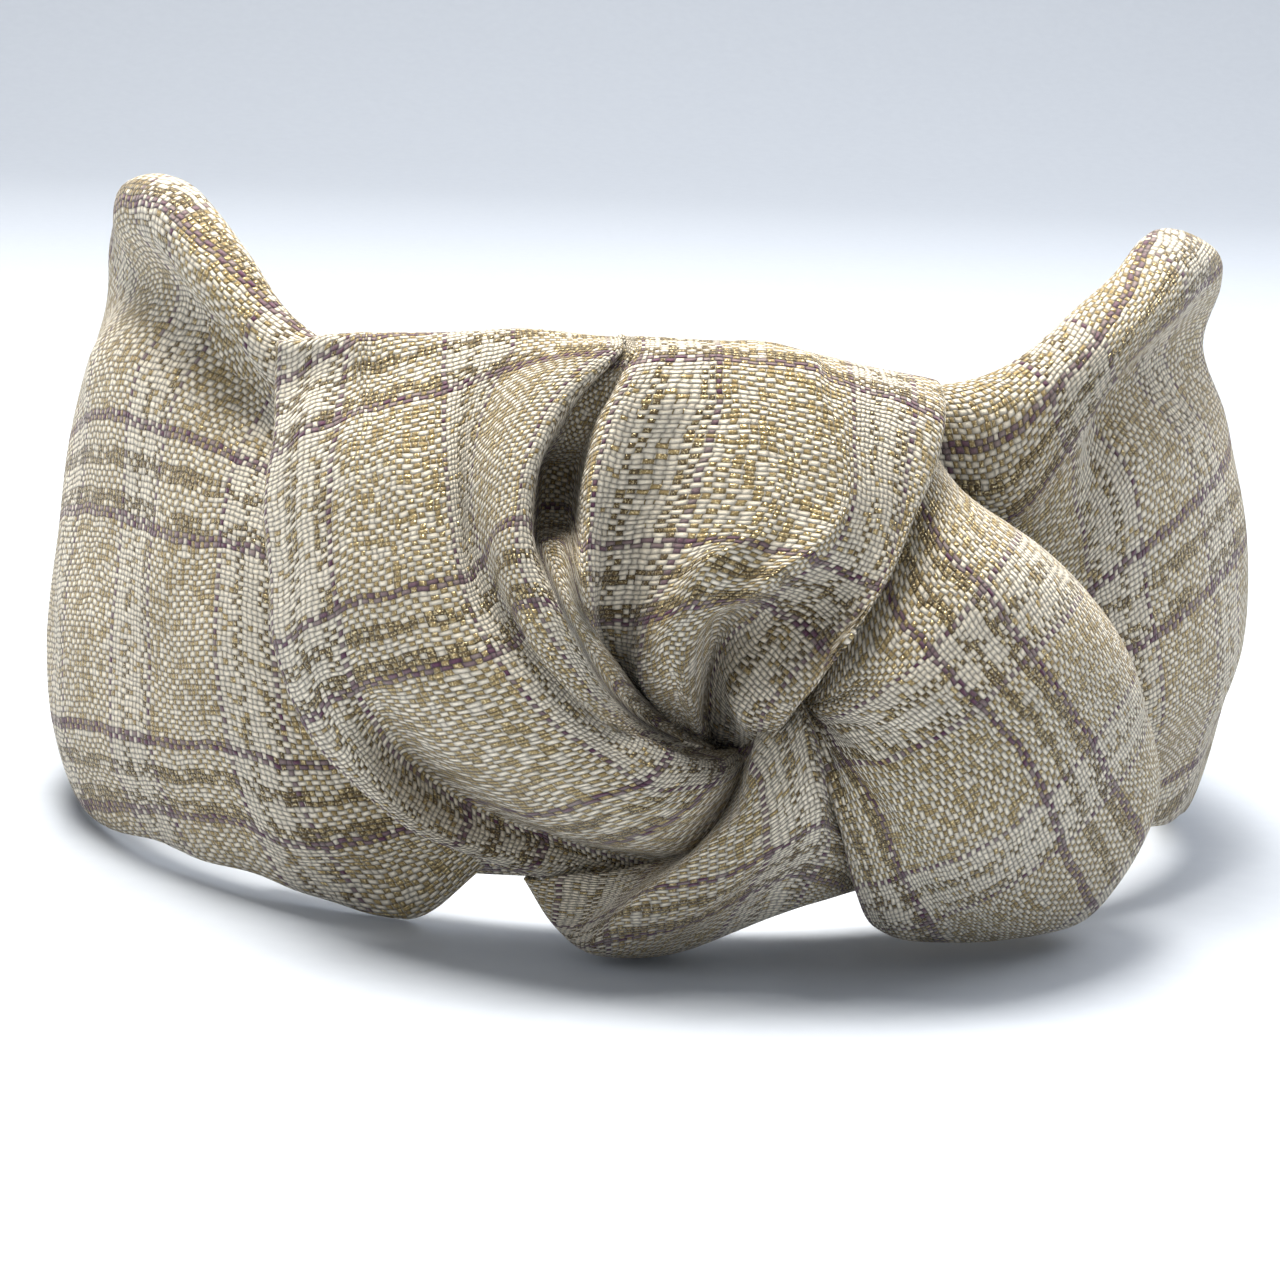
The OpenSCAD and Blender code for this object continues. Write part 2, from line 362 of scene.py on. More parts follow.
def weave_height(g, over, weft_shows, off_warp, off_weft):
    """Height of the weave, 0 in the gaps and 1 on the crown of a weft float."""
    along_float = g.choose(over, g.math("SUBTRACT", 1, off_warp), off_warp)
    weft_top = g.math("MULTIPLY", dome(g, g.math("MULTIPLY", off_weft, 2)),
                      dome(g, g.math("DIVIDE", along_float, FLOAT_REACH)))
    warp_top = g.math("MULTIPLY", dome(g, g.math("DIVIDE", off_warp, 0.5 - SPREAD / 2)),
                      dome(g, g.math("MULTIPLY", off_weft, 1.7)))
    return g.choose(weft_shows, g.math("MULTIPLY", warp_top, WARP_HEIGHT), weft_top)


def tweed():
    """Plain weave of wool and lurex with a check in warp and weft."""
    g = Graph("checked_lurex_tweed")
    warp, weft, off_warp, off_weft = threads_here(g)
    over = g.math("FLOORED_MODULO", g.math("ADD", warp, weft), 2)
    swell = g.math("GREATER_THAN", off_warp, 0.5 - SPREAD)
    weft_shows = g.math("MAXIMUM", over, swell)
    height = weave_height(g, over, weft_shows, off_warp, off_weft)

    cell = g.node("ShaderNodeCombineXYZ", {0: warp, 1: weft})
    dice = g.node("ShaderNodeTexWhiteNoise", {"Vector": cell.outputs[0]},
                  noise_dimensions="3D")
    chance = dice.outputs["Value"]
    other = g.node("ShaderNodeSeparateColor", {"Color": dice.outputs["Color"]}).outputs["Green"]
    purple, gold, olive = (
        g.choose(weft_shows, on_warp, on_weft)
        for on_warp, on_weft in zip(
            thread_masks(g, warp, WARP_CHECK, WARP_GROUND, other, WARP_GOLD),
            thread_masks(g, weft, WEFT_CHECK, WEFT_GROUND, other, WEFT_GOLD)))

    fibre = g.noise(g.position(), FIBRE_SCALE, 3.0)
    speck = g.math("GREATER_THAN", g.noise(g.position(), GLINT_SCALE, 1.0), GLINT_LIMIT)
    metal = g.math("MULTIPLY", g.math("MAXIMUM", gold, olive), speck)
    colour = g.mix(gold, WHITE, GOLD)
    colour = g.mix(olive, colour, OLIVE)
    colour = g.mix(g.math("MULTIPLY", purple, g.between(0.7, 1.0, chance)), colour, PURPLE)
    colour = g.mix(g.math("MULTIPLY", metal, 0.55), colour, GLINT)
    tone = g.between(0.84, 1.06, chance)
    # Painted shade: the colour is darkened in the gaps between the threads, where the weave is low.
    painted_gap_shade = g.between(0.14, 1.14, g.math("POWER", height, 0.7))
    fluff = g.between(0.72, 1.32, fibre)
    shade = g.math("MULTIPLY", g.math("MULTIPLY", tone, painted_gap_shade), fluff)
    lit = g.node("ShaderNodeVectorMath", {0: colour, "Scale": shade}, operation="SCALE")
    fuzzy = g.math("ADD", height, g.math("MULTIPLY", fibre, 0.6))
    return g.finish(Base_Color=lit.outputs[0], Metallic=g.math("MULTIPLY", metal, 0.7),
                    Roughness=g.between(0.85, 0.35, metal), Normal=g.bump(fuzzy, RELIEF, 0.9),
                    Sheen_Weight=0.25, Sheen_Roughness=0.5, Specular_IOR_Level=0.3)


def ribbon():
    """Grosgrain: close ribs across the ribbon."""
    g = Graph("grosgrain_ribbon")
    along = g.node("ShaderNodeSeparateXYZ", {0: g.threads()}).outputs[1]
    ribs = g.math("ABSOLUTE", g.math("SINE", g.math("MULTIPLY", along, 3.4)))
    speck = g.noise(g.position(), 3000.0)
    # Painted shade: the colour is darker in the grooves between the ribs and lighter on their crests,
    # and the noise varies it at random.
    tone = g.mix(g.math("MULTIPLY", ribs, speck), rgb(176, 152, 116), rgb(214, 194, 160))
    return g.finish(Base_Color=tone, Roughness=0.6, Normal=g.bump(ribs, 0.0002, 0.8),
                    Sheen_Weight=0.3)


def thread():
    """Twisted sewing thread."""
    g = Graph("sewing_thread")
    wave = g.node("ShaderNodeTexWave", {"Vector": g.position(), "Scale": 900.0,
                                        "Distortion": 2.0}, bands_direction="DIAGONAL")
    twist = wave.outputs["Fac"]
    # Painted shade: the colour is darker in the grooves of the twist and lighter on its crests.
    tone = g.mix(twist, rgb(150, 124, 86), rgb(206, 184, 144))
    return g.finish(Base_Color=tone, Roughness=0.55, Normal=g.bump(twist, 0.00005),
                    Sheen_Weight=0.2)


def plastic():
    """Moulded ivory plastic."""
    g = Graph("moulded_plastic")
    haze = g.noise(g.position(), 60.0, 4.0)
    grain = g.noise(g.position(), 900.0)
    return g.finish(Base_Color=g.mix(haze, rgb(226, 220, 204), rgb(240, 236, 224)),
                    Roughness=g.between(0.3, 0.5, haze), Normal=g.bump(grain, 0.00003, 0.4))


MATERIALS = {"tweed": tweed(), "ribbon": ribbon(), "thread": thread(),
             "band_plastic": plastic()}


# ---- making pieces ------------------------------------------------------------------------

def added(name, data):
    """A new object in the scene."""
    made = bpy.data.objects.new(name, data)
    bpy.context.scene.collection.objects.link(made)
    return made


def smooth_mesh(name, corners, faces, material):
    """A smooth mesh object from corners in metres."""
    mesh = bpy.data.meshes.new(name)
    mesh.from_pydata(corners, [], faces)
    mesh.polygons.foreach_set("use_smooth", [True] * len(faces))
    mesh.materials.append(material)
    return added(name, mesh)


def made_piece(name, corners, faces, finish):
    """A piece of the object from plan points, with its material."""
    piece = smooth_mesh(name, place(corners).tolist(), faces, MATERIALS[finish])
    return piece


def skin(name, grid, finish, flat, thickness=CLOTH, flip=False):
    """A sheet of cloth over a grid of plan points, thickened inwards, with its threads laid out."""
    nu, nv = grid.shape[:2]
    grid = grid.copy()
    grid[..., 2] = np.maximum(grid[..., 2], FLOOR_GAP)
    index = np.arange(nu * nv).reshape(nu, nv)
    corners = [index[:-1, :-1], index[:-1, 1:], index[1:, 1:], index[1:, :-1]]
    if flip:
        corners.reverse()
    faces = np.stack(corners, axis=-1).reshape(-1, 4)
    piece = made_piece(name, grid.reshape(-1, 3), faces.tolist(), finish)
    threads = piece.data.uv_layers.new(name="threads")
    threads.data.foreach_set("uv", flat.reshape(-1, 2)[faces.reshape(-1)].ravel())
    thicken = piece.modifiers.new("thickness", "SOLIDIFY")
    thicken.thickness = thickness * MM
    thicken.offset = -1
    return piece


def laid(flat, turn, at, check=(0.0, 0.0)):
    """Turns the cloth under a piece and slides it, so that a check starts at a chosen place.

    at gives that place as shares of the way across and along, and check is the thread there,
    in mm from the start of a check.
    """
    c, s = math.cos(math.radians(turn)), math.sin(math.radians(turn))
    turned = flat @ np.array([[c, s], [-s, c]])
    i, j = (round(share * (size - 1)) for share, size in zip(at, flat.shape))
    return turned - turned[i, j] + check


# ---- knot ---------------------------------------------------------------------------------
# The knot's front follows one crowned surface. A rib's points are (x, z, sink), where sink is
# how far the cloth lies behind that surface.

KNOT_X = 4.0                    # the surface's foremost point
KNOT_Z = 34.0
KNOT_FRONT = 93.0               # its distance from the crown's centre
KNOT_PLAN_R = 62.0              # the surface's radius, seen from above
KNOT_SIDE_R = 52.0              # and seen from the side


def knot_depth(x, z):
    """How far the crowned surface stands out in front of the crown's centre."""
    return (KNOT_FRONT - KNOT_PLAN_R + math.sqrt(KNOT_PLAN_R ** 2 - (x - KNOT_X) ** 2)
            - KNOT_SIDE_R + math.sqrt(KNOT_SIDE_R ** 2 - (z - KNOT_Z) ** 2))


def front(rib):
    """A rib's (x, z, sink) points as plan points."""
    return [(x, sink - knot_depth(x, z), z) for x, z, sink in rib]


LEVEL_LEFT = 18.0               # the wrap's top edge is level this far to each side,
LEVEL_RIGHT = 8.0
DROP_LEFT = 0.13                # and beyond that it slopes down
DROP_RIGHT = 0.21
HEM_SINK = 2.0                  # a rib that starts deeper than this is a hem, which lies
HEM_DROP = 0.25                 # lower and further in over the band's top


def over_the_top(x, sink):
    """Points that take a rib from inside the band up over its top edge."""
    hem = HEM_DROP * max(sink - HEM_SINK, 0)
    slope = DROP_RIGHT * (x - LEVEL_RIGHT) if x > 0 else DROP_LEFT * (-x - LEVEL_LEFT)
    drop = hem + max(slope, 0)
    route = ((65.0, 46.0), (65.5, 58.0 - drop / 2), (69.0, 65.5 - drop),
             (76.0 - 2.4 * hem, 67.8 - drop))       # (radius, z)
    return [(x, -math.sqrt(r * r - x * x), z) for r, z in route]


WRAP_RIBS = {
    "left_hem": [(-40, 60, 14), (-40, 55, 13), (-41, 47, 12), (-40, 39, 12), (-39, 31, 12),
                 (-36, 24, 12), (-31, 19, 12), (-25, 14, 13), (-18, 11, 15), (-9, 8, 17),
                 (-1, 7, 20)],
    "left_fold": [(-44, 60, 5), (-44, 55, 4), (-45, 47, 3), (-44, 39, 3), (-43, 31, 3),
                  (-40, 24, 3), (-35, 19, 3), (-28, 14, 4), (-21, 11, 6), (-11, 8, 11),
                  (-2, 7, 15)],
    "left_face": [(-40, 62, 3), (-41, 57, 1), (-41, 48, 1), (-40, 39, 1), (-39, 31, 1),
                  (-36, 25, 2), (-32, 20, 4), (-26, 15, 6), (-18, 12, 8), (-10, 10, 12),
                  (-2, 8, 15)],
    "left_groove": [(-36, 62.5, 2), (-37, 55, 0), (-37, 46, 0), (-36, 38, 0), (-34, 30, 2),
                    (-31, 24, 7), (-27, 19, 12), (-20, 15, 12), (-13, 13, 13), (-6, 11, 14),
                    (0, 10, 15)],
    "left_lower": [(-33, 63, 2), (-33, 55, 0), (-32, 46, 0), (-31, 38, 0), (-28, 31, 1),
                   (-25, 26, 3), (-20, 21, 5), (-14, 17, 5), (-8, 15, 5), (-1, 14, 5),
                   (4, 14, 9)],
    "left_belly": [(-29, 64, 2), (-29, 55, 0), (-28, 47, 0), (-26, 39, 0), (-23, 32, 0),
                   (-18, 27, 0), (-12, 23, -1), (-6, 20, 0), (-1, 19, 1), (3, 19, 4),
                   (7, 20, 10)],
    "left_upper": [(-25, 64.5, 2), (-25, 58, 1), (-24, 49, 1), (-22, 41, 1), (-18, 35, 0),
                   (-13, 30, -1), (-7, 26, 0), (-2, 23, 1), (2, 23, 3), (6, 23, 7),
                   (8, 24, 13)],
    "roll_slope": [(-20, 66, 2), (-22, 61, 2), (-23, 54, 2), (-22, 46, 2), (-18, 39, 2),
                   (-13, 34, 1), (-8, 29, 1), (-3, 27, 2), (2, 25, 5), (5, 24, 9),
                   (8, 24, 14)],
    "roll_ridge": [(-10.5, 67, 0), (-14, 64.5, -1), (-17, 60.5, -1), (-18.5, 56, -1),
                   (-19, 51, -1), (-19, 46.5, -1), (-17, 41, -1), (-13.5, 35.5, -1),
                   (-8.5, 30.5, 0), (-2, 26, 6), (5.5, 24, 14)],
    "roll_crest": [(-7.5, 67, 0), (-10, 65, -1), (-12.5, 62.5, -1), (-14.5, 59, -1),
                   (-16, 55, -1), (-16.5, 51, -1), (-16, 46.5, -1), (-13, 40, -1),
                   (-9, 33.5, 0), (-3, 27.5, 7), (5.5, 23.5, 15)],
    "pocket_left": [(-7, 66.5, 1), (-9, 64.5, 3), (-11.5, 61, 4), (-13, 56.5, 8),
                    (-14.5, 52.5, 14), (-14.5, 49, 12), (-14.5, 46.5, 2), (-12, 41, -1),
                    (-8.5, 35, 1), (-3, 28.5, 8), (5.5, 23.5, 16)],
    "pocket_right": [(-6.5, 66.5, 1), (-8.5, 64, 2), (-10, 60.5, 4), (-11.5, 56.5, 8),
                     (-12, 53, 14), (-12.5, 49, 11), (-13, 46.5, 1), (-11.5, 41.5, -1),
                     (-8, 36.5, 2), (-2.5, 29, 10), (5, 23.5, 17)],
    "lip": [(-5.5, 66.5, 1), (-7, 64, 0), (-9, 61, 0), (-10, 57.5, 0), (-10.5, 54, 0),
            (-10.5, 50, 0), (-10.5, 46.5, -1), (-10, 42, -1), (-8, 36.5, 4), (-2.5, 29.5, 12),
            (5, 23.5, 18)],
    "valley_left": [(-3, 66.5, 0), (-4.5, 62.5, 0), (-6, 58.5, 1), (-7, 54, 2), (-8, 50, 3),
                    (-8, 45.5, 4), (-8.5, 41.5, 5), (-7.5, 36, 9), (-5, 30.5, 14), (0, 26, 17),
                    (5, 23, 19)],
    "valley_right": [(0, 67, 0), (-1, 62.5, 0), (-2.5, 58, 2), (-3.5, 53, 4), (-5, 48, 5),
                     (-5.5, 43, 6), (-6, 38, 8), (-5.5, 33.5, 11), (-3, 29, 15), (1, 25.5, 18),
                     (4.5, 23, 20)],
    "finger_left": [(3.5, 67, 0), (3.5, 61.5, 0), (2, 56, 0), (0.5, 50, 1), (-1.5, 44.5, 2),
                    (-3.5, 40, 3), (-4, 35.5, 5), (-3.5, 31.5, 8), (-1, 28, 12), (2, 25, 16),
                    (4.5, 23.5, 19)],
    "finger": [(8, 67, 1), (8, 61, 0), (8, 55, 0), (6, 50, 0), (2, 47, 0), (0, 42, 1),
               (-2, 38, 2), (-1, 34, 4), (0, 30, 8), (2, 26, 14), (5, 23, 19)],
    "finger_right": [(13, 67, 1), (13, 60, 0), (12, 54, 0), (10, 49, 0), (6, 45, 1),
                     (3, 42, 3), (1, 38, 4), (1, 34, 6), (2, 30, 9), (3, 26, 14),
                     (5, 24, 19)],
    "arch": [(14, 66, 1), (15, 59, 0), (15, 53, 0), (13, 49, -1), (9, 46, -1), (6, 43, 1),
             (3, 40, 6), (3, 35, 10), (3, 31, 13), (3, 28, 15), (5, 24, 18)],
    "crease": [(17, 65, 1), (17, 59, 0), (17, 53, 0), (15, 48, 1), (11, 44, 4), (8, 40, 10),
               (5, 36, 14), (4, 32, 16), (4, 28, 17), (4, 25, 18), (5, 23, 20)],
    "inner_roll": [(21, 64, 1), (20, 58, 0), (20, 51, 0), (18, 46, 1), (15, 42, 5),
                   (11, 38, 8), (9, 35, 8), (7, 32, 8), (6, 30, 8), (7, 27, 11), (7, 23, 18)],
    "inner_right": [(24, 62.5, 1), (23, 57, 0), (22, 50, 0), (20, 45, 0), (18, 42, 1),
                    (15, 39, 3), (12, 35, 4), (10, 32, 5), (9, 30, 6), (9, 27, 9),
                    (9, 24, 17)],
    "right_fold": [(27, 61, 2), (26, 56.5, 1), (24, 52, 0), (22, 47, 0), (19, 42, 0),
                   (16, 38, 0), (14, 35, 0), (12, 32, 2), (11, 29, 5), (10, 26, 10),
                   (10, 24, 17)],
    "right_hem": [(25, 61, 11), (24, 56.5, 10), (22, 52, 9), (20, 47, 9), (17, 42, 9),
                  (14, 38, 9), (12, 35, 9), (10, 32, 11), (9, 29, 14), (9, 26, 17),
                  (9, 24, 22)],
}

LOBE_RIBS = [
    [(14, 31, 10), (17, 37, 6), (20, 43, 5), (23, 49, 5), (25, 54, 7), (26, 57, 13)],
    [(14.5, 31, 8), (19, 37, 2), (24, 44, 1), (28, 49.5, 2), (30, 51.5, 5), (30, 52, 13)],
    [(15, 31, 7), (21, 36, 0), (28, 42, -1), (34, 46, 0), (38.5, 46.5, 5), (38, 46, 14)],
    [(15, 30.5, 6), (22, 34.5, -1), (31, 38, -2), (40, 40, -1), (46, 39.5, 4), (45, 39, 15)],
    [(15, 30, 6), (23, 32, -1.5), (33, 33, -3), (43, 33.5, -2), (50.5, 32.5, 4),
     (49, 32, 16)],
    [(15, 30, 6), (23, 29, -1), (34, 27, -3), (45, 25, -2), (54, 24, 4), (52, 24, 17)],
    [(15, 29.5, 6), (22, 26, -1), (32, 21, -3), (44, 16, -2), (55.5, 15, 4), (52, 16, 17)],
    [(15, 29.5, 6), (21, 24, -1), (29, 16, -2), (38, 9, -1), (49, 4, 3), (47, 6, 15)],
    [(14.5, 29, 6), (20, 22, -1), (25, 13, -1), (31, 6, 0), (36, 2.5, 4), (35, 6, 14)],
    [(14.5, 29, 6), (18.5, 21, 0), (21.5, 13, 0), (24, 7, 1), (26, 3.2, 5), (26, 6, 14)],
    [(14, 29, 6), (16.5, 22.5, 1.5), (19, 15, 1.5), (21, 9, 2), (23, 5, 5), (23.5, 6.5, 13)],
    [(15, 28, 10), (18, 21, 9), (20.5, 14, 9), (22.5, 9, 10), (24, 6.5, 12), (25, 8, 15)],
]

TAIL_RIBS = [
    [(7, 24, 13), (6, 19, 13), (3, 13, 13), (-5, 10, 11), (-11, 9, 10), (-15, 8, 9),
     (-14, 8, 15)],
    [(8, 25, 10), (6, 19, 9), (3, 14, 8), (-3, 10, 6), (-8, 6, 5), (-12, 4, 5), (-12, 4, 12)],
    [(8, 25, 6), (7, 21, 3), (4, 17, 1), (-1, 12, 0), (-5, 7, 0), (-8, 1.5, 1), (-8, 1.5, 9)],
    [(10, 27, 6), (9, 21, 2), (7, 16, 1), (4, 10, 1), (0, 5, 1), (-4, 0.6, 3), (-3, 1, 10)],
    [(12, 29, 6), (12, 23, 0), (12, 17, 0), (9, 12, 1), (6, 7, 2), (3, 1.8, 4), (4, 2, 11)],
    [(13, 31, 7), (14, 26, 1), (15, 22, -1), (15, 17, 0), (13, 12, 2), (11, 6, 5),
     (11, 6, 12)],
    [(13, 31, 8), (16, 25, 4), (17, 19, 3), (19, 15, 4), (18, 11, 5), (17, 7.8, 7),
     (17, 8, 14)],
    [(14, 30, 10), (18, 23, 9), (20, 17, 9), (22, 12, 9), (22, 9, 9), (22, 8, 10),
     (22, 8, 16)],
]

WRAP_END = (6, 22, 27)          # where the gathered strip ends, behind the eye
LOBE_START = (11, 31, 18)       # where the lobe and the tail start, behind the inner roll
TAIL_START = (10, 31, 20)
LOBE_TURN = -52.0               # degrees by which the threads are turned from the ribs
TAIL_TURN = 20.0
CHECK_W = WARP_GAP * sum(count for count, _ in WARP_CHECK)
WARP_REPEAT = CHECK_W + WARP_GAP * WARP_GROUND
WRAP_WARP = {                   # which warp thread follows which rib, in mm
    "left_hem": -10.0, "left_fold": -0.5, "left_groove": CHECK_W, "left_upper": WARP_REPEAT,
    "lip": 3 * WARP_REPEAT, "finger_left": 3 * WARP_REPEAT + CHECK_W,
    "crease": 4 * WARP_REPEAT, "right_fold": 4 * WARP_REPEAT + 13.0,
    "right_hem": 4 * WARP_REPEAT + 21.0,
}
WRAP_WEFT = 0.455               # share of the left groove where a weft check starts
WEFT_TILT = 0.13                # slope of the weft on the knot's left,
TILT_END = 30.0                 # up to this warp thread, in mm


def knot_wrap():
    """The strip that goes over the top of the band and gathers into the knot's eye."""
    ribs = [over_the_top(rib[0][0], rib[0][2]) + front(rib + [WRAP_END])
            for rib in WRAP_RIBS.values()]
    grid, shares = loft(ribs, across=230, along=160)
    grid = rumple(soften(grid, 3), height=0.35, size=10.0, seed=3.0)
    share_of = dict(zip(WRAP_RIBS, shares))
    warp = chosen_warp([share_of[name] for name in WRAP_WARP], list(WRAP_WARP.values()),
                       len(grid))
    weft = along_ribs(grid) - WEFT_TILT * np.maximum(TILT_END - warp, 0)
    flat = np.stack([np.broadcast_to(warp, weft.shape), weft], axis=-1)
    flat = laid(flat, 0, (share_of["left_groove"], WRAP_WEFT), (CHECK_W, 0.0))
    piece = skin("knot_wrap_cloth", grid, "tweed", flat, GATHERED)
    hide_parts("knot_left_wrap", "knot_top_wrap", "knot_inner_roll")
    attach(piece, "crown")


def knot_lobe():
    """The loop of cloth that spreads out to the right of the knot's eye."""
    grid, _ = loft([front([LOBE_START] + rib) for rib in LOBE_RIBS], across=130, along=80)
    grid = rumple(soften(grid), height=0.4, size=9.0, seed=11.0)
    flat = laid(fan(grid), LOBE_TURN, (0.5, 0.5))
    piece = skin("knot_lobe_cloth", grid, "tweed", flat, GATHERED)
    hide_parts("knot_right_lobe")
    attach(piece, "crown")


def knot_tail():
    """The end of cloth that comes out under the eye and folds down to the floor."""
    grid, _ = loft([front([TAIL_START] + rib) for rib in TAIL_RIBS], across=90, along=80)
    grid = rumple(soften(grid), height=0.3, size=8.0, seed=23.0)
    flat = laid(fan(grid), TAIL_TURN, (0.5, 0.5))
    piece = skin("knot_tail_cloth", grid, "tweed", flat, GATHERED)
    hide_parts("knot_tail")
    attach(piece, "crown")


# ---- arms ---------------------------------------------------------------------------------
# An arm is one strip wrapped round the padded band. A row gives a station, in mm along the
# band from the front of the crown, and the strip's section there as (out, z) points, where out
# is the distance out of the band's middle. The section starts and ends at the seam inside.

STRAIGHT_RIB = 8                # the rib outside, below the hollow, that the weft is laid along
STRAIGHT_THREAD = 26.0          # the weft thread on it, in mm from the start of a check
ARM_TILT = 8.0                  # degrees by which the weft drops from it towards the tips
BACK_OUT = -2.2                 # the flat back of an arm
RIBBON_W = 14.0
RIBBON_TOP = BAND_Z + RIBBON_W / 2
TIP_SECTIONS = {
    128: [(-2.4, 36), (-2.8, 50), (-3.6, 58), (-2.4, 61.5), (0.4, 60), (1.4, 57.5), (2.2, 53),
          (4, 46), (5, 36), (4.8, 24), (3.6, 13), (0, 7.5), (-2.4, 12), (-2, 40)],
    148: [(-2.4, 36), (-2.4, 44), (-2.6, 48.5), (-1.6, 51), (0.8, 50.4), (1.6, 49), (2.2, 47),
          (3.1, 43), (3.5, 37), (3.2, 31), (2, 25.5), (-0.5, 22.5), (-2.3, 26), (-2, 40)],
    160: [(-2.4, 36), (-2.4, 43), (-2.4, 46.5), (-1.4, 48), (0.4, 47.6), (1.2, 46.4),
          (1.8, 45), (2.6, 42), (2.9, 38), (2.6, 33.4), (1.4, 29.6), (-0.8, 27.8), (-2.2, 30),
          (-2, 40)],
    168: [(-2.4, 36), (-2.4, 42), (-2.4, 45), (-1.4, 46.8), (0.4, 46.4), (1.2, 45.2),
          (1.8, 44), (2.5, 41.5), (2.8, 38), (2.5, 34), (1.4, 30.6), (-0.8, 29), (-2.2, 31),
          (-2, 40)],
}

LEFT_ARM = {
    12: [(-2.4, 36), (-2.4, 48), (-2.4, 54), (-1, 56), (0, 54), (0, 52), (0.5, 46), (1, 40),
         (1, 34), (1, 28), (1, 22), (0, 16), (-2, 18), (-2, 40)],
    20: [(-2.4, 36), (-2.4, 49), (-2.4, 55), (-1, 57), (0, 56), (0.5, 54), (1, 48), (2, 42),
         (2.5, 32), (2.5, 20), (2, 12), (0.5, 7), (-2, 9), (-2, 40)],
    27: [(-2.4, 36), (-2.4, 50), (-2.4, 57), (-1, 60), (1, 59), (1, 57), (1.5, 52), (3, 45),
         (4, 32), (4, 18), (3, 8), (0.5, 0.6), (-2, 5), (-2, 40)],
    40: [(-2.4, 36), (-2.6, 52), (-2.6, 60), (-1, 63), (2.4, 61), (2.8, 57), (2, 53),
         (6.5, 48), (8.5, 34), (8, 18), (5, 7), (0.5, 1), (-2.2, 5), (-2, 40)],
    48: [(-2.4, 36), (-2.8, 54), (-2.8, 63), (-1.2, 66.5), (2.6, 64.5), (3, 60.5), (0, 57),
         (4.5, 50), (7.5, 36), (7.5, 20), (5, 9), (0.5, 2), (-2.2, 7), (-2, 40)],
    56: [(-2.4, 36), (-3.4, 58), (-3.8, 68), (-1.8, 72.3), (2.6, 70.8), (3.2, 67), (-2.8, 61),
         (2.8, 52.5), (6.2, 36), (6.2, 20), (4.5, 9), (0.5, 2), (-2.2, 7), (-2, 40)],
    66: [(-2.4, 36), (-4, 60), (-5.2, 72), (-3, 78), (1.8, 76.6), (2.6, 72), (-3.7, 64.5),
         (1.6, 54.5), (4.2, 38), (5.4, 22), (4.3, 9), (0.5, 2), (-2.2, 7), (-2, 40)],
    78: [(-2.4, 36), (-4.5, 60), (-6.6, 73), (-4.4, 79), (0.4, 77.6), (1, 73.5), (-4, 66.5),
         (1.3, 56.5), (3.4, 40), (5.2, 24), (4.4, 9), (0.6, 1), (-2.2, 7), (-2, 40)],
    92: [(-2.4, 36), (-4.5, 58), (-7.2, 71), (-5.4, 76.8), (-1.4, 75.4), (-0.8, 71.5),
         (-3.4, 65), (1.5, 55.5), (3.4, 40), (5.2, 24), (4.4, 9), (0.8, 0.2), (-2.2, 7), (-2, 40)],
    107: [(-2.4, 36), (-4, 56), (-6.2, 67), (-4.6, 71.2), (-1.8, 69.8), (-1, 67), (-0.8, 61),
          (1.6, 52), (4, 38), (5.4, 24), (4.4, 9), (0.8, 0.2), (-2.2, 7), (-2, 40)],
    **TIP_SECTIONS,
}

RIGHT_ARM = {
    24: [(-2.4, 36), (-2.4, 50), (-2.4, 58), (-1, 61.5), (1, 60), (1.8, 52), (1, 46),
         (2, 42), (4, 32), (4, 20), (3, 14), (0.5, 10), (-2, 12), (-2, 40)],
    36: [(-2.4, 36), (-2.6, 52), (-2.6, 59.5), (-1, 63), (2.8, 60), (3.4, 49), (2.4, 45),
         (2.8, 41), (5, 34), (5, 24), (3.5, 15), (0.5, 9), (-2.2, 12), (-2, 40)],
    46: [(-2.4, 36), (-2.8, 54), (-2.8, 63.5), (-1, 67.4), (3.2, 64.5), (4, 57.5),
         (3.2, 51.5), (2.9, 44), (4, 36), (5.5, 24), (4, 15), (0.5, 8), (-2.2, 12), (-2, 40)],
    56: [(-2.4, 36), (-3.4, 58), (-3.6, 68), (-1.6, 72.3), (3, 70), (3.8, 65.5), (-1.4, 59),
         (3.4, 51.5), (4, 38), (5.8, 24), (4.4, 17), (0.5, 7.5), (-2.2, 11), (-2, 40)],
    67: [(-2.4, 36), (-4, 60), (-5, 71), (-2.8, 76.8), (2.2, 75), (3.2, 69.8), (-3.6, 61.5),
         (2.6, 53), (5, 40), (6.4, 24.5), (4.6, 18), (0.6, 7), (-2.2, 11), (-2, 40)],
    80: [(-2.4, 36), (-4.5, 60), (-6.2, 71), (-4, 77), (1, 75.4), (2.2, 70.8), (-2.8, 63),
         (2.8, 53.5), (5.6, 42), (6.9, 25), (5, 18), (0.8, 5.5), (-2.2, 10), (-2, 40)],
    93: [(-2.4, 36), (-4.5, 58), (-6.6, 69.5), (-4.6, 75), (0.2, 73.4), (1.4, 69.4),
         (-0.8, 62), (3, 53), (6, 42), (6.9, 26), (5, 18), (0.8, 3.5), (-2.2, 9), (-2, 40)],
    107: [(-2.4, 36), (-4, 56), (-6, 66.5), (-4.2, 70.6), (-0.4, 69.4), (0.6, 66.5),
          (0.4, 60), (3.4, 51), (5.8, 41), (6, 26), (4.8, 14), (0.8, 0.6), (-2.2, 7), (-2, 40)],
    **TIP_SECTIONS,
}


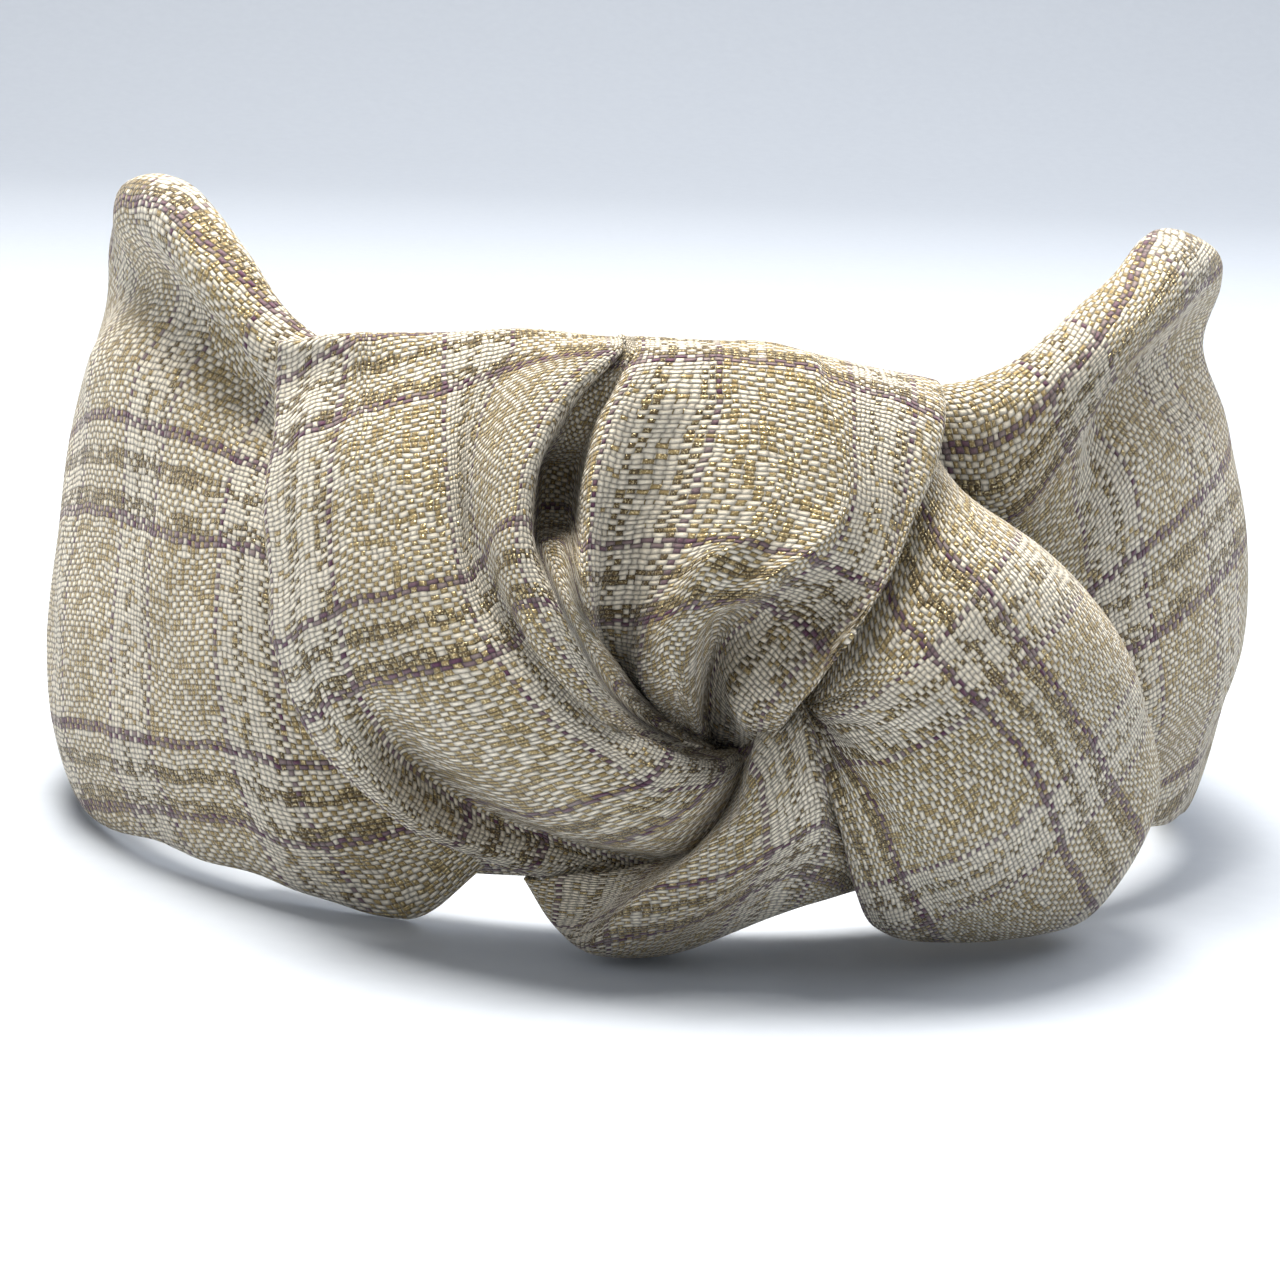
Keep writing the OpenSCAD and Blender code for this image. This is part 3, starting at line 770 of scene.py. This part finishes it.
def along_band(side, points):
    """Turns (station, out, z) into plan points on the left (-1) or right (+1) of the band."""
    points = np.asarray(points, float)
    s, out, z = points[..., 0], points[..., 1], points[..., 2]
    round_crown = np.minimum(s, QUARTER) / CROWN_R
    along_arm = np.maximum(s - QUARTER, 0) / ARM_R
    on_arm = s > QUARTER
    x = np.where(on_arm, CROWN_R - ARM_R + (ARM_R + out) * np.cos(along_arm),
                 (CROWN_R + out) * np.sin(round_crown))
    y = np.where(on_arm, (ARM_R + out) * np.sin(along_arm), -(CROWN_R + out) * np.cos(round_crown))
    return np.stack([side * x, y, z], axis=-1)


def bend_with_arm(piece):
    """Bakes a piece's transform into its mesh."""
    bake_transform(piece)


def flat_back(section):
    """An arm's section with its back kept flat, where the ribbon covers the seam."""
    seam_low, above = section[0], section[1]
    level = min(RIBBON_TOP + 2, (seam_low[1] + above[1]) / 2)
    return [(BACK_OUT, seam_low[1]), (BACK_OUT, level)] + section[1:]


def arm_cloth(side, sections):
    """One arm's strip of cloth, from under the knot to the tip."""
    word = WORDS[side]
    rows = [[(s, out, z) for out, z in flat_back(section)] for s, section in sections.items()]
    ribs = list(map(list, zip(*rows)))
    grid, shares = loft(ribs, across=180, along=150)
    grid = rumple(soften(along_band(side, grid)), height=0.7, size=14.0, seed=31.0 * side)
    flat = flatten(grid)
    straight = shares[STRAIGHT_RIB]
    flat[..., 0] -= flat[round(straight * (len(grid) - 1)), :, 0]
    flat = laid(flat, 90 - ARM_TILT * side, (straight, 0.4), (0.0, STRAIGHT_THREAD))
    piece = skin(f"{word}_arm_cloth", grid, "tweed", flat, flip=side > 0)
    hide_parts(f"{word}_cover", f"{word}_padding", f"knot_{word}_tuck")
    bend_with_arm(piece)


# ---- layers behind the knot, ribbons and caps ---------------------------------------------

BACK_PROFILE = [(69.5, 59.5), (67.8, 62), (65, 61.7), (63.1, 58), (62.3, 50), (61.9, 40),
                (61.9, 28), (62.3, 16), (63.4, 9), (66, 6), (69.5, 8)]      # (radius, z)
BACK_R = 61.9                   # its least radius, where the stitches are
BACK_ANGLES = (-42, -28, -14, -4, -0.4, 0.4, 4, 14, 28, 42)
SEAM_ANGLES = (-4, -0.4)        # where one edge of the cloth lies over the other
SEAM_STEP = 0.9                 # by this much
SEAM_HEIGHTS = range(14, 58, 4)
SEAM_EASE = 0.4                 # how far a stitch eases back beyond the step
SEAM_LIFT = 0.1                 # a seam stitch stands this far off the cloth,
SEAM_DIVE = 0.9                 # runs into it this far at both ends
SEAM_SLANT = 0.5                # and slants up this much over half its length
STITCH_L = 2.2
STITCH_R = 0.25
STITCH_SIDES = 8
STITCH_END = 0.55               # share of its radius that a stitch keeps at its ends
ASKEW = (0.3, 0.5, 0.8)         # a direction that no stitch runs in


def back_band():
    """The strips' ends, folded behind the band and sewn together up the middle."""
    ribs = []
    for angle in BACK_ANGLES:
        step = SEAM_STEP if angle in SEAM_ANGLES else 0
        a = math.radians(angle)
        ribs.append([((r - step) * math.sin(a), -(r - step) * math.cos(a), z)
                     for r, z in BACK_PROFILE])
    grid, _ = loft(ribs, across=170, along=110)
    grid = rumple(grid, height=0.9, size=22.0, seed=51.0, upright=3.0)
    piece = skin("knot_back_cloth", grid, "tweed", laid(flatten(grid), 0, (0.3, 0.4)), flip=True)
    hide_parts("knot_back_band")
    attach(piece, "crown")


def stitch_rings(line):
    """Rings of corners round a line of plan points, narrower at its two ends."""
    line = np.asarray(line, float)
    ahead = np.gradient(line, axis=0)
    side = np.cross(ahead, ASKEW)
    side /= np.linalg.norm(side, axis=1, keepdims=True)
    other = np.cross(ahead / np.linalg.norm(ahead, axis=1, keepdims=True), side)
    radius = np.full((len(line), 1, 1), STITCH_R)
    radius[[0, -1]] *= STITCH_END
    turn = (2 * math.pi * np.arange(STITCH_SIDES) / STITCH_SIDES)[None, :, None]
    rings = line[:, None] + radius * (side[:, None] * np.cos(turn) + other[:, None] * np.sin(turn))
    return rings.reshape(-1, 3)


def stitches(name, lines):
    """One mesh of short round threads that follow lines of plan points."""
    corners, faces = [], []
    for line in lines:
        first = len(corners)
        last = first + (len(line) - 1) * STITCH_SIDES
        corners.extend(stitch_rings(line))
        for low in range(first, last, STITCH_SIDES):
            high = low + STITCH_SIDES
            for k in range(STITCH_SIDES):
                after = (k + 1) % STITCH_SIDES
                faces.append((low + k, low + after, high + after, high + k))
        faces.append(tuple(first + k for k in reversed(range(STITCH_SIDES))))
        faces.append(tuple(last + k for k in range(STITCH_SIDES)))
    return made_piece(name, corners, faces, "thread")


def seam_stitches():
    """A ladder of stitches across the seam behind the knot."""
    lines = []
    for z in SEAM_HEIGHTS:
        line = []
        for t in np.linspace(-1, 1, 9):
            x = STITCH_L / 2 * t
            r = BACK_R - SEAM_STEP - SEAM_LIFT + SEAM_DIVE * t ** 4 + SEAM_EASE * max(t, 0)
            line.append((x, -math.sqrt(r * r - x * x), z + SEAM_SLANT * t))
        lines.append(line)
    piece = stitches("seam_thread", lines)
    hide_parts("knot_seam_stitches")
    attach(piece, "crown")


RIBBON_OUT = -3.1               # the ribbon's face, on the head's side
RIBBON_START = 47.0             # stations of the ribbon's ends
RIBBON_END = 163.0
RIBBON_THICK = 0.6
EDGE_CURL = 0.35                # how far its edges curl in to the arm,
EDGE_RIPPLE = 0.12              # ripple
EDGE_SWAY = 0.15                # and sway up and down
STITCH_GAP = 6.0                # from one stitch to the next along the ribbon
STITCH_INSET = 1.0              # from the ribbon's edge to its stitches
STITCH_LIFT = 0.3               # a ribbon stitch's height off the ribbon,
STITCH_DIVE = 0.7               # the depth that its ends run in
STITCH_SLANT = 0.15             # and its rise over half its length


def ribbon_strip(side):
    """Grosgrain ribbon along the inside of an arm, with its edges in two slow waves."""
    s, z = np.meshgrid(np.linspace(RIBBON_START, RIBBON_END, 150),
                       np.linspace(RIBBON_TOP - RIBBON_W, RIBBON_TOP, 15), indexing="ij")
    edge = np.abs(z - BAND_Z) / (RIBBON_W / 2)
    out = RIBBON_OUT + EDGE_CURL * edge ** 6 + EDGE_RIPPLE * np.sin(s / 3.1) * edge ** 2
    z = z + EDGE_SWAY * np.sin(s / 4.7)
    grid = along_band(side, np.stack([s, out, z], axis=-1))
    flat = np.stack([z, s], axis=-1)
    word = WORDS[side]
    piece = skin(f"{word}_ribbon", grid, "ribbon", flat, RIBBON_THICK, flip=side < 0)
    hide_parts(f"{word}_lining")
    bend_with_arm(piece)


def ribbon_stitches(side):
    """The thread that holds both edges of an arm's ribbon."""
    t = np.linspace(-1, 1, 7)
    out = RIBBON_OUT - STITCH_LIFT + STITCH_DIVE * t ** 4
    lines = []
    for row in (-1, 1):
        z = BAND_Z + row * (RIBBON_W / 2 - STITCH_INSET) + STITCH_SLANT * t
        for at in np.arange(RIBBON_START + 4, RIBBON_END - 3, STITCH_GAP):
            lines.append(along_band(side, np.stack([at + STITCH_L / 2 * t, out, z], axis=-1)))
    piece = stitches(f"{WORDS[side]}_ribbon_thread", lines)
    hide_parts(f"{WORDS[side]}_lining_stitches")
    bend_with_arm(piece)


CAP_RINGS = ((161.6, 3.7, 10.3), (162.2, 4.1, 10.9), (165.0, 4.1, 10.9), (168.0, 3.8, 10.5),
             (169.5, 2.8, 9.8), (170.2, 1.4, 9.0),
             (170.3, 0.02, 8.2))       # (station, half thickness, half height)
CAP_OUT = 0.3                   # middle of the cap, out of the band's middle
CAP_THICK = 0.8


def squared(wave, power):
    """A sine or cosine with fuller peaks, for a squarish oval."""
    return np.sign(wave) * np.abs(wave) ** power


def tip_cap(side):
    """A cap of cloth folded over the end of an arm."""
    word = WORDS[side]
    turn = np.linspace(0, 2 * math.pi, 21)
    ribs = []
    for s, half_out, half_z in CAP_RINGS:
        out = CAP_OUT - half_out * squared(np.cos(turn), 0.7)
        z = BAND_Z + half_z * squared(np.sin(turn), 0.8)
        ribs.append(np.stack([np.full(len(turn), s), out, z], axis=-1))
    grid, _ = loft(ribs, across=40, along=90)
    grid = along_band(side, grid)
    flat = laid(flatten(grid), 0, (0.2, 0.3))
    piece = skin(f"{word}_tip_cloth", grid, "tweed", flat, CAP_THICK, flip=side < 0)
    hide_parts(f"{word}_tip_cap")
    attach(piece, f"{word}_arm")


# ---- build --------------------------------------------------------------------------------

knot_wrap()
knot_lobe()
knot_tail()
back_band()
seam_stitches()
arm_cloth(-1, LEFT_ARM)
arm_cloth(1, RIGHT_ARM)
for side in WORDS:
    ribbon_strip(side)
    ribbon_stitches(side)
    tip_cap(side)

for node in frame["nodes"].values():
    if not node.hide_render:
        node.data.materials.clear()
        node.data.materials.append(MATERIALS["band_plastic"])


# ---- floor, light and camera --------------------------------------------------------------

FLOOR_FRONT = -1.6              # the backdrop, in metres
FLOOR_BACK = 0.9                # where it starts to curve up,
FLOOR_R = 0.5                   # on this radius
WALL_TOP = 2.4
FLOOR_HALF = 2.5                # half its width
CURVE_STEPS = 12


def paper():
    """Pale matt paper."""
    g = Graph("pale_paper")
    tone = g.mix(g.noise(g.position(), 300.0), rgb(187, 194, 205), rgb(193, 200, 210))
    return g.finish(Base_Color=tone, Roughness=0.55)


def backdrop():
    """A pale floor that curves up behind the object."""
    profile = [(FLOOR_FRONT, 0.0), (FLOOR_BACK, 0.0)]
    for step in range(1, CURVE_STEPS + 1):
        a = math.pi / 2 * step / CURVE_STEPS
        profile.append((FLOOR_BACK + FLOOR_R * math.sin(a), FLOOR_R - FLOOR_R * math.cos(a)))
    profile.append((FLOOR_BACK + FLOOR_R, WALL_TOP))
    corners = [(x, y, z) for y, z in profile for x in (-FLOOR_HALF, FLOOR_HALF)]
    faces = [(2 * i, 2 * i + 1, 2 * i + 3, 2 * i + 2) for i in range(len(profile) - 1)]
    floor = smooth_mesh("backdrop", corners, faces, paper())


def area_light(name, where, aim, size, power, colour):
    """A soft square light at where, in metres, that faces aim."""
    light = bpy.data.lights.new(name, "AREA")
    light.size = size
    light.energy = power
    light.color = colour
    lamp = added(name, light)
    lamp.location = where
    lamp.rotation_euler = (Vector(aim) - Vector(where)).to_track_quat("-Z", "Y").to_euler()


AIM = (-3.0, -60.0, 32.3)       # the plan point that the camera looks at
DISTANCE = 0.46                 # metres from there to the camera
AZIMUTH = -3.0                  # degrees, to the right of straight in front
ELEVATION = 11.0
ROLL = 2.5
LENS = 116.7


def camera():
    """A long lens a little above the knot, a touch to its left and tilted a little."""
    azimuth, elevation, roll = (math.radians(a) for a in (AZIMUTH, ELEVATION, ROLL))
    back = Vector((math.sin(azimuth) * math.cos(elevation),
                   -math.cos(azimuth) * math.cos(elevation), math.sin(elevation)))
    right = (-back).cross(Vector((0, 0, 1))).normalized()
    up = right.cross(-back)
    tilted_right = right * math.cos(roll) + up * math.sin(roll)
    tilted_up = up * math.cos(roll) - right * math.sin(roll)
    data = bpy.data.cameras.new("camera")
    data.lens = LENS
    data.clip_start = 0.01
    eye = added("camera", data)
    turn = Matrix((tilted_right, tilted_up, back)).transposed().to_4x4()
    eye.matrix_world = Matrix.Translation(Vector(place(AIM)) + back * DISTANCE) @ turn
    bpy.context.scene.camera = eye


def world():
    """An even pale sky."""
    sky = bpy.data.worlds.new("sky")
    sky.use_nodes = True
    shade = sky.node_tree.nodes["Background"]
    shade.inputs["Color"].default_value = (0.92, 0.95, 1.0, 1)
    shade.inputs["Strength"].default_value = 0.33
    bpy.context.scene.world = sky
    bpy.context.scene.view_settings.view_transform = "Standard"


MIDDLE = (0.0, -0.03, 0.035)    # where the lights aim, in metres
backdrop()
area_light("key", (-0.12, 0.10, 0.95), MIDDLE, 0.5, 23.0, (1.0, 0.955, 0.88))
area_light("fill", (-1.0, -0.35, 0.4), MIDDLE, 0.7, 2.0, (0.97, 0.98, 1.0))
area_light("back", (0.6, 0.4, 0.8), MIDDLE, 0.8, 7.5, (0.97, 0.98, 1.0))
camera()
world()
